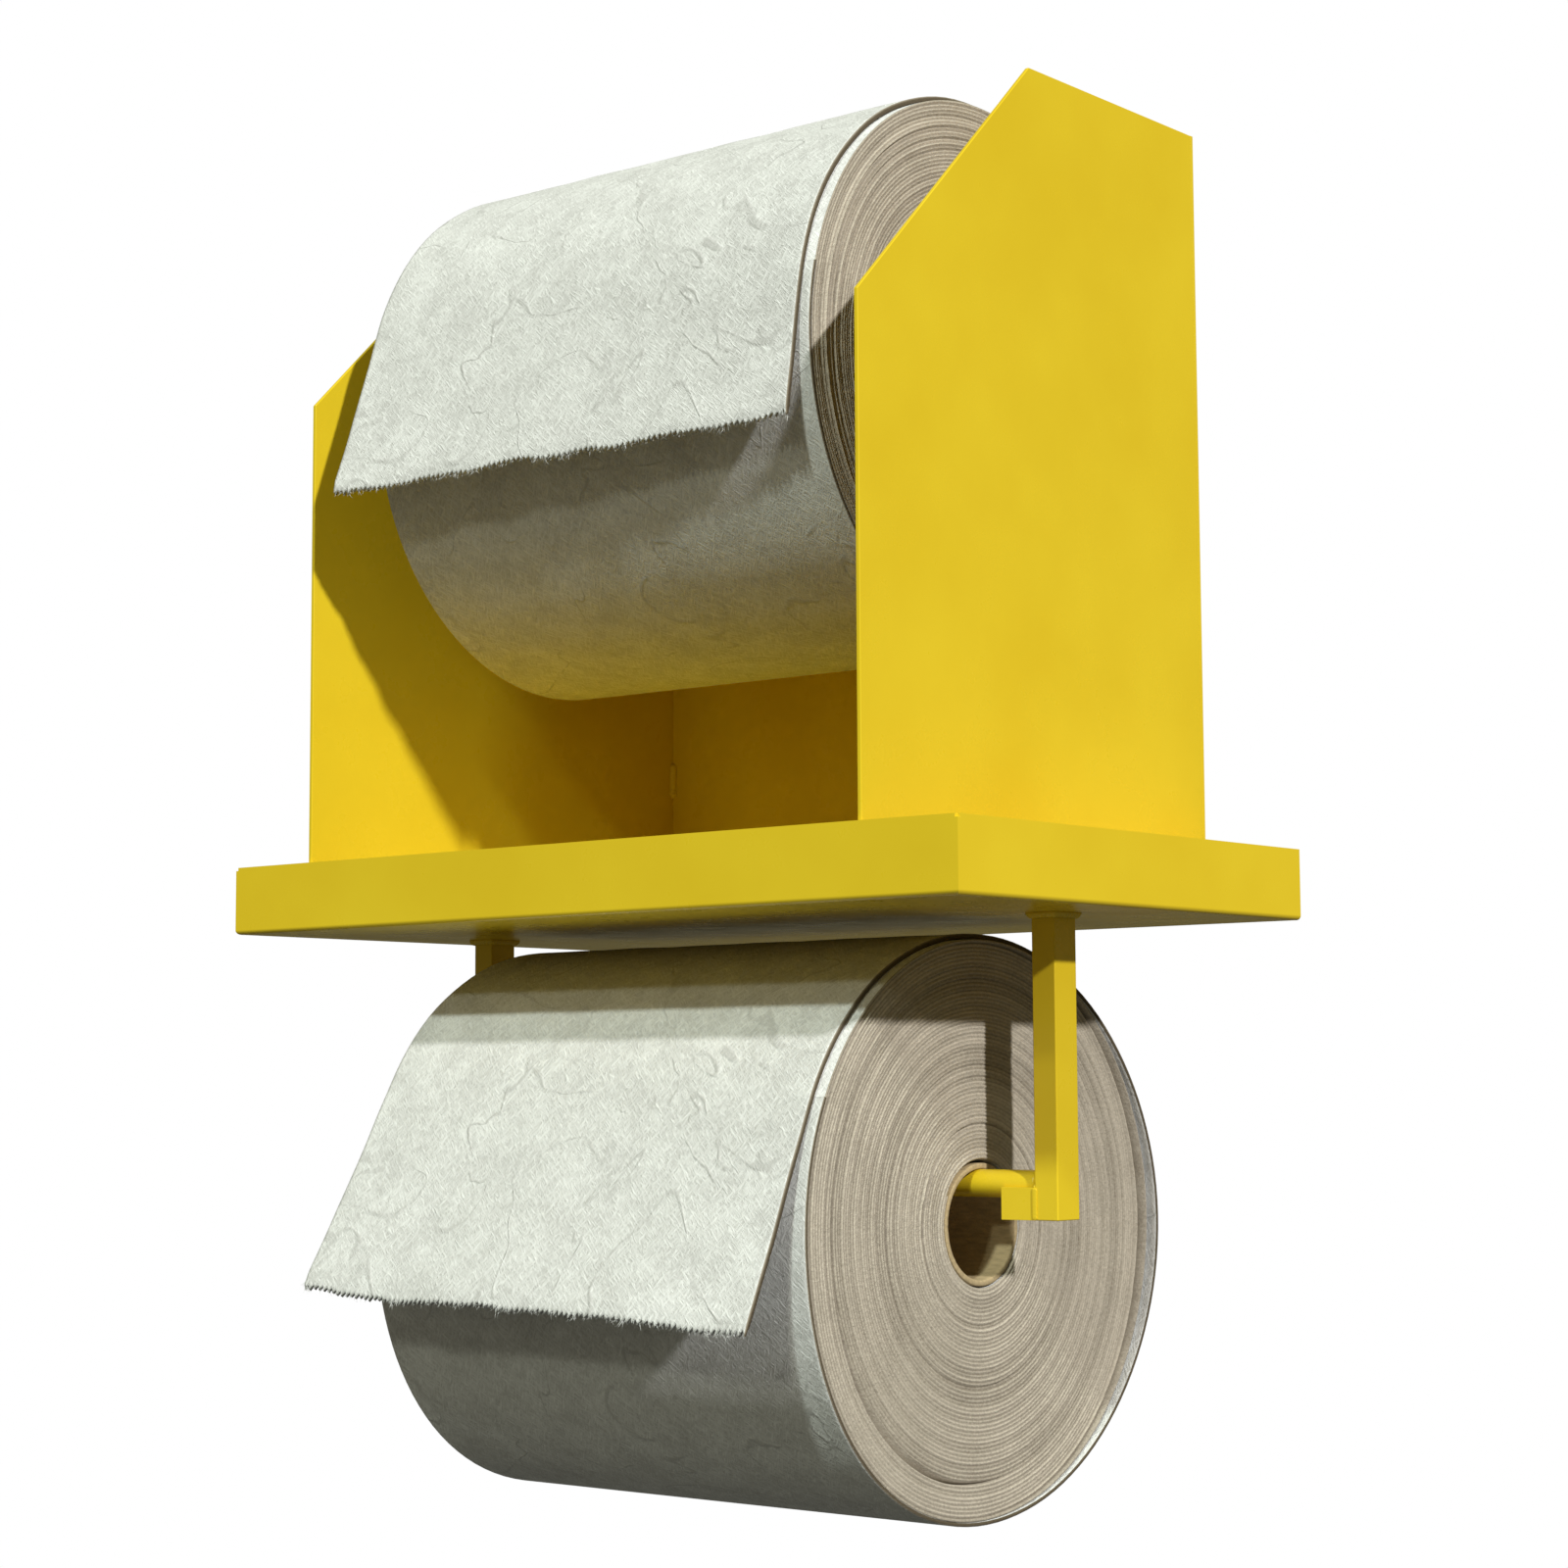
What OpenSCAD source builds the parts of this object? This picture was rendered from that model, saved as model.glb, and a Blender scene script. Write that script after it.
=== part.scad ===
// Wall-mounted dispenser for two rolls of absorbent mat, welded from painted steel.
// A pan-shaped tray carries a three-sided cabinet for the upper roll. Two hangers
// under the tray carry the lower roll. Each roll hangs by its cardboard core on a
// round bar that lies in two open-topped saddles and lifts out.
// X runs left to right, Y runs from the front (negative) to the wall (zero) and Z
// points up. The origin is the centre of the wall bolt pattern, on the wall face.

/* [Rolls] */
// Radius of a wound roll of mat
roll_r = 194; // [150:0.5:235]
// Length of a roll, the width of its mat
roll_l = 406.4; // [300:0.2:490]
// Distance of the rolls' middle to the right of the tray's middle
roll_shift = 4; // [-10:0.5:10]
// Inside diameter of a cardboard core
core_id = 76.2; // [60:0.1:92]
// Wall thickness of a core
core_wall = 4; // [2:0.1:8]
// Gap left between a core, its roll and the loose mat
wrap_gap = 0.3; // [0.1:0.05:0.8]

/* [Loose mat] */
// Thickness of the mat
mat_t = 4; // [2:0.1:6]
// Distance that the loose mat sits to the left of its roll
mat_shift = 7; // [0:0.5:12]
// Angle behind the top of the roll where the loose mat starts
mat_back = 20; // [0:1:40]
// Angle past the top of the upper roll where its mat leaves it
upper_leave = 71; // [40:1:85]
// Length of the upper roll's free mat
upper_free = 141; // [40:1:170]
// Angle past the top of the lower roll where its mat leaves it
lower_leave = 61; // [40:1:85]
// Length of the lower roll's free mat
lower_free = 166; // [40:1:200]

/* [Room around the rolls] */
// Room between a roll's end and the nearer saddle, with the roll in the middle
end_room = 29.6; // [15:0.1:60]
// Room between the upper roll and the back panel
rear_room = 1.7; // [1:0.1:40]
// Height of the upper roll above the tray's rim
upper_room = 134; // [60:1:200]
// Room between the tray's underside and the lower roll
under_room = 13.6; // [12:0.1:60]

/* [Tray] */
// Width of the tray's open shelf outside each side panel
shelf_w = 78.9; // [60:0.1:120]
// Depth of the tray from its front face to the wall
tray_d = 406.4; // [320:0.2:520]
// Height of the tray's upturned flanges, floor included
tray_h = 50.8; // [30:0.2:80]
// Outside radius of the tray's folded bottom edges
bend_r = 3.4; // [0.5:0.1:6]
// Thickness of all the sheet steel
sheet = 3.2; // [2:0.1:4]
// Side of the small relief notch at the top of each front corner
corner_notch = 2.4; // [1:0.1:4]

/* [Cabinet] */
// Height of the panels above the tray's rim
cab_rise = 541; // [510:1:700]
// Height of the upright front edge of a side panel above the rim
front_rise = 346; // [200:1:500]
// Length of a side panel's level top edge, measured from the wall
top_edge = 210; // [60:1:300]

/* [Wall bolts] */
// Distance between bolt holes across the wall, one stud spacing
bolt_x = 406.4; // [200:0.2:420]
// Distance between bolt holes up the wall
bolt_z = 406.4; // [200:0.2:420]
// Height of the bolt pattern's centre above the tray's rim
bolt_rise = 230; // [225:1:280]
// Diameter of a bolt hole
bolt_d = 11; // [6:0.5:16]

/* [Bars, saddles and hangers] */
// Diameter of the round bars
bar_d = 19.05; // [12:0.05:25]
// Gap between a bar's end and the panel or hanger that it faces
bar_end_gap = 3; // [1:0.5:6]
// Gap between a bar and the core that hangs on it
hang_gap = 0.3; // [0.1:0.05:1]
// Length of a saddle along the bar
saddle_l = 28; // [18:0.5:40]
// Height of a saddle
saddle_h = 22; // [16:0.5:30]
// Steel left in front of the bar and behind it on a saddle
saddle_land = 3.175; // [2:0.005:8]
// Depth of the groove that the bar lies in
groove_depth = 7.5; // [4:0.1:9]
// Clearance between a bar and its groove
groove_gap = 0.3; // [0.1:0.05:0.8]
// Width of a hanger, side to side
hanger_w = 19.05; // [12:0.05:30]

/* [Welds] */
// Leg length of the fillet welds
weld = 4; // [2:0.5:6]
// Height that a flush seam's bead stands proud
seam_proud = 0.8; // [0.4:0.1:1.5]
// Length of one stitch of weld
stitch_l = 30; // [15:1:60]
// Number of stitches along each seam
stitches = 3; // [2:1:5]

/* [Hidden] */

paint = [0.86, 0.77, 0.12];
bead = [0.80, 0.70, 0.10];
card = [0.80, 0.62, 0.36];
felt = [0.70, 0.65, 0.57];
loose = [0.86, 0.86, 0.83];
eps = 0.01;
fine = 96;

// Reach of a roll with its loose mat, from the roll's centre line
reach = roll_r + wrap_gap + mat_t;

// Widths: the saddles and the rolls between them set the cabinet and the tray
panel_in = roll_l / 2 + end_room + saddle_l;
cab_w = 2 * (panel_in + sheet);
tray_w = cab_w + 2 * shelf_w;

// Depths, from the wall at zero to the front
rear_y = -sheet;
mid_y = rear_y - rear_room - reach;
flange_y = -tray_d + sheet;

// Heights of the tray, from its rim down, and of the cabinet's top
rim_z = -bolt_rise;
under_z = rim_z - tray_h;
floor_z = under_z + sheet;
top_z = rim_z + cab_rise;

// Each roll hangs on its bar by the top of its core
bar_r = bar_d / 2;
core_ir = core_id / 2;
core_or = core_ir + core_wall;
hang = core_ir - bar_r - hang_gap;
upper_roll_z = rim_z + upper_room + reach;
lower_roll_z = under_z - under_room - reach;
upper_bar_z = upper_roll_z + hang;
lower_bar_z = lower_roll_z + hang;

// Saddles: the bar's centre line is this far above a saddle's underside
saddle_d = bar_d + 2 * saddle_land;
bar_drop = saddle_h - groove_depth + bar_r;
land = saddle_land - groove_gap;

// ---------------------------------------------------------------- helpers

// A flat outline drawn in Y and Z, pushed along X from x0 for a length
module along_x(x0, length) {
    translate([x0, 0, 0])
        rotate([90, 0, 90])
            linear_extrude(length) children();
}

// The same on both sides of the middle, one copy mirrored
module both_sides() {
    children();
    mirror([1, 0, 0]) children();
}

// Rectangle of size a by b whose two lower corners can be rounded
module pan_outline(a, b, r, round_left, round_right) {
    difference() {
        square([a, b]);
        if (round_left) corner_cut(r);
        if (round_right) translate([a, 0]) mirror([1, 0]) corner_cut(r);
    }
}

module corner_cut(r) {
    difference() {
        translate([-1, -1]) square(r + 1);
        translate([r, r]) circle(r, $fn = fine);
    }
}

// A fillet weld of triangular section lying along Z, its corner at the origin
// and its legs along +X and +Y
module fillet(length, leg = weld) {
    linear_extrude(length) polygon([[0, 0], [leg, 0], [0, leg]]);
}

// Stitches of fillet weld spread evenly along Z between two heights
module stitch_run(from, to) {
    pitch = (to - from) / stitches;
    for (i = [0 : stitches - 1])
        translate([0, 0, from + (i + 0.5) * pitch - stitch_l / 2])
            fillet(stitch_l);
}

// ---------------------------------------------------------------- steel frame

// Folded pan: a floor with upturned front, side and rear flanges. The rear flange
// is left out between the side panels, where the back panel stands.
module tray_pan() {
    color(paint) difference() {
        intersection() {
            along_x(-tray_w / 2, tray_w)
                translate([-tray_d, under_z])
                    pan_outline(tray_d, tray_h, bend_r, true, false);
            rotate([90, 0, 0])
                linear_extrude(tray_d)
                    translate([-tray_w / 2, under_z])
                        pan_outline(tray_w, tray_h, bend_r, true, true);
        }
        translate([-tray_w / 2 + sheet, flange_y, floor_z])
            cube([tray_w - 2 * sheet, tray_d - 2 * sheet, tray_h]);
        translate([-cab_w / 2, rear_y - eps, floor_z])
            cube([cab_w, sheet + 1, tray_h]);
        both_sides()
            translate([tray_w / 2 - corner_notch, -tray_d - 1, rim_z - corner_notch])
                cube([corner_notch + 1, corner_notch + 1, corner_notch + 1]);
    }
}

// Flat plate from the tray's floor to the top, with four holes for wall bolts
module back_panel() {
    color(paint) difference() {
        translate([-cab_w / 2, rear_y, floor_z])
            cube([cab_w, sheet, top_z - floor_z]);
        for (x = [-1, 1], z = [-1, 1])
            translate([x * bolt_x / 2, 1, z * bolt_z / 2])
                rotate([90, 0, 0])
                    cylinder(d = bolt_d, h = sheet + 2, $fn = fine);
    }
}

// Five-cornered plate with a level top at the rear and a slope down to the front
module side_panel() {
    along_x(panel_in, sheet)
        polygon([
            [flange_y, floor_z], [rear_y, floor_z], [rear_y, top_z],
            [-top_edge, top_z], [flange_y, rim_z + front_rise]
        ]);
}

module side_panel_left() {
    color(paint) mirror([1, 0, 0]) side_panel();
}

module side_panel_right() {
    color(paint) side_panel();
}

// Block with a round-bottomed groove across its top, welded to the face at
// panel_in. The bar that lies in it has its centre line at bar_z.
module saddle(bar_z) {
    groove_r = bar_r + groove_gap;
    difference() {
        translate([panel_in - saddle_l, mid_y - saddle_d / 2, bar_z - bar_drop])
            cube([saddle_l, saddle_d, saddle_h]);
        translate([panel_in - saddle_l - 1, mid_y, bar_z]) {
            rotate([0, 90, 0])
                cylinder(r = groove_r, h = saddle_l + 2, $fn = fine);
            translate([0, -groove_r, 0])
                cube([saddle_l + 2, 2 * groove_r, saddle_h]);
        }
    }
}

module upper_saddle_left() {
    color(paint) mirror([1, 0, 0]) saddle(upper_bar_z);
}

module upper_saddle_right() {
    color(paint) saddle(upper_bar_z);
}

module lower_saddle_left() {
    color(paint) mirror([1, 0, 0]) saddle(lower_bar_z);
}

module lower_saddle_right() {
    color(paint) saddle(lower_bar_z);
}

// Rectangular bar from the tray's underside to the foot of its saddle
module hanger() {
    foot_z = lower_bar_z - bar_drop;
    translate([panel_in, mid_y - saddle_d / 2, foot_z])
        cube([hanger_w, saddle_d, under_z - foot_z]);
}

module hanger_left() {
    color(paint) mirror([1, 0, 0]) hanger();
}

module hanger_right() {
    color(paint) hanger();
}

// ---------------------------------------------------------------- welds

// One upright bead inside each corner of the tray
module tray_corner_welds() {
    bead_h = tray_h - sheet - corner_notch;
    color(bead) both_sides() {
        translate([tray_w / 2 - sheet, flange_y, floor_z])
            rotate([0, 0, 90]) fillet(bead_h);
        translate([tray_w / 2 - sheet, rear_y, floor_z])
            rotate([0, 0, 180]) fillet(bead_h);
    }
}

// Upright beads where each side panel meets the front flange, and stitches
// along the outside of its foot
module panel_foot_welds() {
    color(bead) both_sides() {
        translate([cab_w / 2, flange_y, floor_z]) fillet(tray_h - sheet);
        translate([panel_in, flange_y, floor_z])
            rotate([0, 0, 90]) fillet(tray_h - sheet);
        translate([cab_w / 2, 0, floor_z])
            rotate([90, 0, 0])
                stitch_run(sheet, tray_d - sheet);
    }
}

// Stitches up the inside corners between the back panel and the side panels
module back_seam_welds() {
    color(bead) both_sides()
        translate([panel_in, rear_y, 0])
            rotate([0, 0, 180]) stitch_run(rim_z, top_z);
}

// Outline of a bead's section across a bar of width a, hanging below Z zero
module bead_section(a) {
    polygon([
        [-a / 2 - weld, 0], [a / 2 + weld, 0], [a / 2, -weld], [-a / 2, -weld]
    ]);
}

// A bead all round a hanger's top, mitred at its corners
module hanger_bead() {
    long = hanger_w + saddle_d + 4 * weld;
    translate([panel_in + hanger_w / 2, mid_y, under_z])
        difference() {
            intersection() {
                rotate([90, 0, 0])
                    linear_extrude(long, center = true) bead_section(hanger_w);
                rotate([90, 0, 90])
                    linear_extrude(long, center = true) bead_section(saddle_d);
            }
            cube([hanger_w, saddle_d, 3 * weld], center = true);
        }
}

module hanger_welds() {
    color(bead) both_sides() hanger_bead();
}

// Two short fillets on a saddle's top, in front of the bar and behind it
module seat_beads(bar_z) {
    for (front = [mid_y - saddle_d / 2 + land, mid_y + saddle_d / 2])
        translate([panel_in, front, bar_z - bar_drop + saddle_h])
            rotate([90, 0, 0]) mirror([1, 0, 0]) fillet(land, land);
}

// A fillet under the upper saddle, where the side panel carries on below it
module foot_bead() {
    translate([panel_in, mid_y + saddle_d / 2, upper_bar_z - bar_drop])
        rotate([90, 180, 0]) fillet(saddle_d);
}

// A low crowned bead over the flush seam between the lower saddle and its
// hanger: the part of a circle that stands seam_proud of the face
module seam_bead() {
    crown_r = (weld * weld / 4 + seam_proud * seam_proud) / (2 * seam_proud);
    translate([panel_in, mid_y - saddle_d / 2, lower_bar_z - bar_drop])
        linear_extrude(saddle_h)
            intersection() {
                translate([0, crown_r - seam_proud]) circle(crown_r, $fn = fine);
                translate([-weld, -weld]) square([2 * weld, weld]);
            }
}

module saddle_welds() {
    color(bead) both_sides() {
        seat_beads(upper_bar_z);
        foot_bead();
        seat_beads(lower_bar_z);
        seam_bead();
    }
}

// ---------------------------------------------------------------- bars and rolls

// Round bar between the two side panels, or the two hangers, less its end gaps
module bar(bar_z) {
    length = 2 * (panel_in - bar_end_gap);
    translate([-length / 2, mid_y, bar_z])
        rotate([0, 90, 0])
            cylinder(r = bar_r, h = length, $fn = fine);
}

module upper_bar() {
    color(paint) bar(upper_bar_z);
}

module lower_bar() {
    color(paint) bar(lower_bar_z);
}

// Hollow cylinder along X around a roll's own centre line
module tube(r_out, r_in, centre_z) {
    translate([roll_shift - roll_l / 2, mid_y, centre_z])
        rotate([0, 90, 0])
            difference() {
                cylinder(r = r_out, h = roll_l, $fn = fine);
                translate([0, 0, -1]) cylinder(r = r_in, h = roll_l + 2, $fn = fine);
            }
}

module upper_core() {
    color(card) tube(core_or, core_ir, upper_roll_z);
}

module lower_core() {
    color(card) tube(core_or, core_ir, lower_roll_z);
}

module upper_roll() {
    color(felt) tube(roll_r, core_or + wrap_gap, upper_roll_z);
}

module lower_roll() {
    color(felt) tube(roll_r, core_or + wrap_gap, lower_roll_z);
}

// The last turn of a roll: it follows the roll from behind the top to the angle
// leave, then runs straight on for the length free. Angles are from the top, and
// turn towards the front.
module loose_mat(centre_z, leave, free) {
    in_r = roll_r + wrap_gap;
    far = 2 * reach;
    span = leave + mat_back;
    translate([0, mid_y, centre_z])
        along_x(roll_shift - mat_shift - roll_l / 2, roll_l) {
            intersection() {
                difference() {
                    circle(reach, $fn = 2 * fine);
                    circle(in_r, $fn = 2 * fine);
                }
                rotate(-mat_back)
                    polygon([
                        [0, 0], [0, far],
                        [-far * sin(span / 2), far * cos(span / 2)],
                        [-far * sin(span), far * cos(span)]
                    ]);
            }
            rotate(leave)
                translate([-free, in_r]) square([free + eps, mat_t]);
        }
}

module upper_loose_mat() {
    color(loose) loose_mat(upper_roll_z, upper_leave, upper_free);
}

module lower_loose_mat() {
    color(loose) loose_mat(lower_roll_z, lower_leave, lower_free);
}

tray_pan();
back_panel();
side_panel_left();
side_panel_right();
upper_saddle_left();
upper_saddle_right();
hanger_left();
hanger_right();
lower_saddle_left();
lower_saddle_right();
tray_corner_welds();
panel_foot_welds();
back_seam_welds();
hanger_welds();
saddle_welds();
upper_bar();
upper_core();
upper_roll();
upper_loose_mat();
lower_bar();
lower_core();
lower_roll();
lower_loose_mat();
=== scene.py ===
"""A wall-mounted dispenser for two rolls of absorbent mat, finished for rendering.

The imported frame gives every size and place. This script softens and paints the
steelwork, lays the weld beads, turns the bars and the cardboard cores, winds the
rolls and hangs their torn mats. Lengths are in metres. X runs left to right, the
front is towards negative Y and Z points up. An angle round a roll starts at its
top and grows towards the front.
"""

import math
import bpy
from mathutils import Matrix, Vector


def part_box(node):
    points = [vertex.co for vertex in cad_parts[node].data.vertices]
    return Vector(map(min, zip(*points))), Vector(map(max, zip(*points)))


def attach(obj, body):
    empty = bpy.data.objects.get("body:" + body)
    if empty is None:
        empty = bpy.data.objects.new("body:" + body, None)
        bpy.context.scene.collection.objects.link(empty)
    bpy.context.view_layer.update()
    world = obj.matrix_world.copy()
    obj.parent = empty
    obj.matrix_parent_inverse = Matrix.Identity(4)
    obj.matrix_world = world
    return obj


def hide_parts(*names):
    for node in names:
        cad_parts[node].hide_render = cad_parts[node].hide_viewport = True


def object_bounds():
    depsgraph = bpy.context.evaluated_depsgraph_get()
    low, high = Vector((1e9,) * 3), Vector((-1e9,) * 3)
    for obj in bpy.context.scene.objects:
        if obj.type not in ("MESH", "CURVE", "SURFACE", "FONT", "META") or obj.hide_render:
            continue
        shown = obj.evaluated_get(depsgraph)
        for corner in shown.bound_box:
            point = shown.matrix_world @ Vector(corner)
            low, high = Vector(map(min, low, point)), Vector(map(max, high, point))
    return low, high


bl_info = {
    "name": "Twin Roll Dispenser",
    "version": (1, 0, 0),
    "blender": (4, 5, 0),
    "location": "3D View > Sidebar > Dispenser",
    "description": "Builds a wall-mounted twin roll dispenser on its packed frame",
    "category": "Object",
}

import bmesh
import bpy
import numpy as np
from bpy.props import FloatProperty, FloatVectorProperty, IntProperty, PointerProperty
from mathutils import Matrix, Vector

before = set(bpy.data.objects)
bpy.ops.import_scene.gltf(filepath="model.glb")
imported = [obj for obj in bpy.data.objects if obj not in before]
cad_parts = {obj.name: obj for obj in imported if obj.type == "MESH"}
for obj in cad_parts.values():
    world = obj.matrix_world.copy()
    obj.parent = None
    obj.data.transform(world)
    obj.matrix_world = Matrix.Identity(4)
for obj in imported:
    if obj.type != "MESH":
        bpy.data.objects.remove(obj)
CAD_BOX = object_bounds()
MM = 0.001
TURN = 2 * math.pi


def place_object(name, data):
    """A new object in the scene, at the origin."""
    made = bpy.data.objects.new(name, data)
    bpy.context.scene.collection.objects.link(made)
    return made


def linear(hex_colour):
    """A colour in linear light from its sRGB hex value."""
    parts = [int(hex_colour[i : i + 2], 16) / 255 for i in (1, 3, 5)]
    return tuple(c / 12.92 if c <= 0.04045 else ((c + 0.055) / 1.055) ** 2.4 for c in parts)


# ------------------------------------------------------------------ settings


def length(name, description, millimetres, low=0.0, high=1000.0):
    """A length property whose default and limits are given in millimetres."""
    return FloatProperty(
        name=name, description=description, default=millimetres * MM,
        min=low * MM, max=high * MM, unit="LENGTH", precision=4,
    )


def angle(name, description, degrees):
    """An angle property whose default is given in degrees."""
    return FloatProperty(
        name=name, description=description, default=math.radians(degrees), unit="ROTATION"
    )


def colour(name, description, hex_colour):
    """A colour property whose default is an sRGB hex value."""
    return FloatVectorProperty(
        name=name, description=description, default=linear(hex_colour),
        size=3, min=0.0, max=1.0, subtype="COLOR",
    )


def strength(name, description, default):
    """A property for how strong a light is."""
    return FloatProperty(name=name, description=description, default=default, min=0.0)


class SteelSettings(bpy.types.PropertyGroup):
    """Sizes and colours of the enamelled steel"""

    enamel: colour("Enamel", "Colour of the gloss enamel", "#E8C82A")
    enamel_deep: colour("Thick enamel", "Colour where the enamel lies thicker", "#E2C024")
    edge_r: length("Edge radius", "Radius of the deburred edges of the sheet", 0.55, 0.1, 1.5)
    block_r: length("Block edge radius", "Radius of the edges of the bar stock", 0.9, 0.1, 3)
    leg: length("Weld leg", "Leg length of the fillet welds", 4.0, 1, 8)
    ripple: length("Weld ripple", "Distance between the ripples of a weld", 2.6, 1, 6)
    bar_chamfer: length("Bar chamfer", "Chamfer on the ends of the round bars", 1.2, 0.2, 3)


class MatSettings(bpy.types.PropertyGroup):
    """Sizes and colours of the absorbent mat and the cores"""

    felt: colour("Felt", "Colour of the mat's face", "#E9E8E9")
    # Felt hollows is the colour of painted shade between the fibres and along the creases
    felt_shade: colour("Felt hollows", "Colour between the fibres of the mat", "#C6C4C4")
    edge: colour("Wound edge", "Colour of the cut edges in a roll's end", "#CCC0B2")
    # Wound edge hollows is the colour of painted shade in the gaps between turns and on the slit
    # edges
    edge_shade: colour("Wound edge hollows", "Colour between the turns in a roll's end", "#5E5344")
    board: colour("Core board", "Colour of the cardboard cores", "#C2AB86")
    loose_t: length("Loose thickness", "Thickness of the mat where it hangs free", 4.0, 1, 8)
    wound_t: length("Wound thickness", "Thickness of the mat pressed in the roll", 2.6, 1, 8)
    tooth: length("Tear pitch", "Distance between the teeth of the torn edge", 4.6, 1, 12)
    tooth_depth: length("Tear depth", "Depth of the teeth of the torn edge", 4.2, 0, 6)
    fibres: IntProperty(
        name="Fibres", description="Number of fibres along a torn edge", default=800, min=0
    )
    fibre_l: length("Fibre length", "Usual length of a fibre at the torn edge", 2.6, 0.5, 12)


def roll_settings(top, front, bottom, rear, skew, slide, leave, free, crack):
    """The properties of one roll. Leave and free each hold a left and a right value."""
    return {
        "top": length("Top", "Radius at the top of the wound body", top),
        "front": length("Front", "Radius at the front of the wound body", front),
        "bottom": length("Bottom", "Radius at the bottom of the wound body", bottom),
        "rear": length("Rear", "Radius at the rear of the wound body", rear),
        "skew": length("Skew", "Distance that the outer turns' right end lies back", skew),
        "slide": length("Slide", "Distance that the outer turns slid right at the rear", slide),
        "leave_left": angle("Left leave", "Where the left edge of the mat leaves", leave[0]),
        "leave_right": angle("Right leave", "Where the right edge of the mat leaves", leave[1]),
        "free_left": length("Left fall", "Length of the free mat at its left edge", free[0]),
        "free_right": length("Right fall", "Length of the free mat at its right edge", free[1]),
        "crack": length("Crack", "Width of the gap between loose turns low in front", crack),
    }


class UpperRollSettings(bpy.types.PropertyGroup):
    """Shape of the upper roll"""

    __annotations__ = roll_settings(
        194, 186.5, 193, 185, 6, 3, (71, 80), (136, 94), 0
    )


class LowerRollSettings(bpy.types.PropertyGroup):
    """Shape of the lower roll"""

    __annotations__ = roll_settings(
        193.5, 187, 197.8, 188.5, 0, 14, (60, 65), (165, 156), 4.4
    )


class StageSettings(bpy.types.PropertyGroup):
    """The floor and the light"""

    floor: colour("Floor", "Colour of the floor", "#F3F2EE")
    floor_drop: length("Floor drop", "Height of the dispenser above the floor", 900)
    side_light: strength("Side light", "Strength of the light from the right", 2.85)
    front_light: strength("Front light", "Strength of the light from above the front", 1.65)
    low_light: strength("Low light", "Strength of the low light from the front", 0.35)
    rear_light: strength("Rear light", "Strength of the light from the rear left", 0.7)
    air: strength("Air", "Strength of the light from all round", 0.15)


# ------------------------------------------------------------------ materials


def new_material(name):
    """A material with one Principled shader. Gives the material, its tree and the shader."""
    made = bpy.data.materials.new(name)
    made.use_nodes = True
    tree = made.node_tree
    return made, tree, tree.nodes["Principled BSDF"]


def add(tree, kind, inputs=None, **settings):
    """Adds a shader node. Fill() says what its inputs take."""
    made = tree.nodes.new("ShaderNode" + kind)
    for key, value in settings.items():
        setattr(made, key, value)
    fill(tree, made, inputs or {})
    return made


def fill(tree, node, inputs):
    """Gives each of a node's inputs a value, or a link from a socket or from the first
    output that another node has in use."""
    for key, value in inputs.items():
        if isinstance(value, bpy.types.Node):
            value = next(output for output in value.outputs if output.enabled)
        if isinstance(value, bpy.types.NodeSocket):
            tree.links.new(value, node.inputs[key])
        else:
            node.inputs[key].default_value = value


def per_metre(millimetres):
    """The scale of a pattern whose features are that far apart."""
    return 1000.0 / millimetres


def gloss_enamel(name, steel, ripple):
    """Gloss enamel brushed and sprayed on welded steel: an even, saturated coat with
    slow changes of depth, a faint orange peel and soft highlights on its edges."""
    made, tree, shader = new_material(name)
    place = add(tree, "TexCoord").outputs["Object"]
    depth = add(tree, "TexNoise", {
        "Vector": place, "Scale": per_metre(140), "Detail": 3.0, "Roughness": 0.55})
    depth = add(tree, "MapRange", {
        "Value": depth, "From Min": 0.35, "From Max": 0.65})
    tone = add(tree, "Mix", {
        0: depth, 6: (*steel.enamel, 1), 7: (*steel.enamel_deep, 1)},
        data_type="RGBA")
    rubbed = add(tree, "TexNoise", {
        "Vector": place, "Scale": per_metre(35), "Detail": 4.0, "Roughness": 0.6})
    rubbed = add(tree, "MapRange", {
        "Value": rubbed, "From Min": 0.3, "From Max": 0.7,
        "To Min": 0.24, "To Max": 0.36})
    # Orange peel is about 2 mm across; it is drawn at 7 mm so that it shows.
    peel = add(tree, "TexNoise", {
        "Vector": place, "Scale": per_metre(7), "Detail": 1.5})
    bump = add(tree, "Bump", {
        "Height": peel, "Distance": ripple * MM, "Strength": 0.5})
    fill(tree, shader, {
        "Base Color": tone, "Roughness": rubbed,
        "Normal": bump, "IOR": 1.35, "Coat Weight": 0.05,
        "Coat Roughness": 0.12})
    return made


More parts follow.
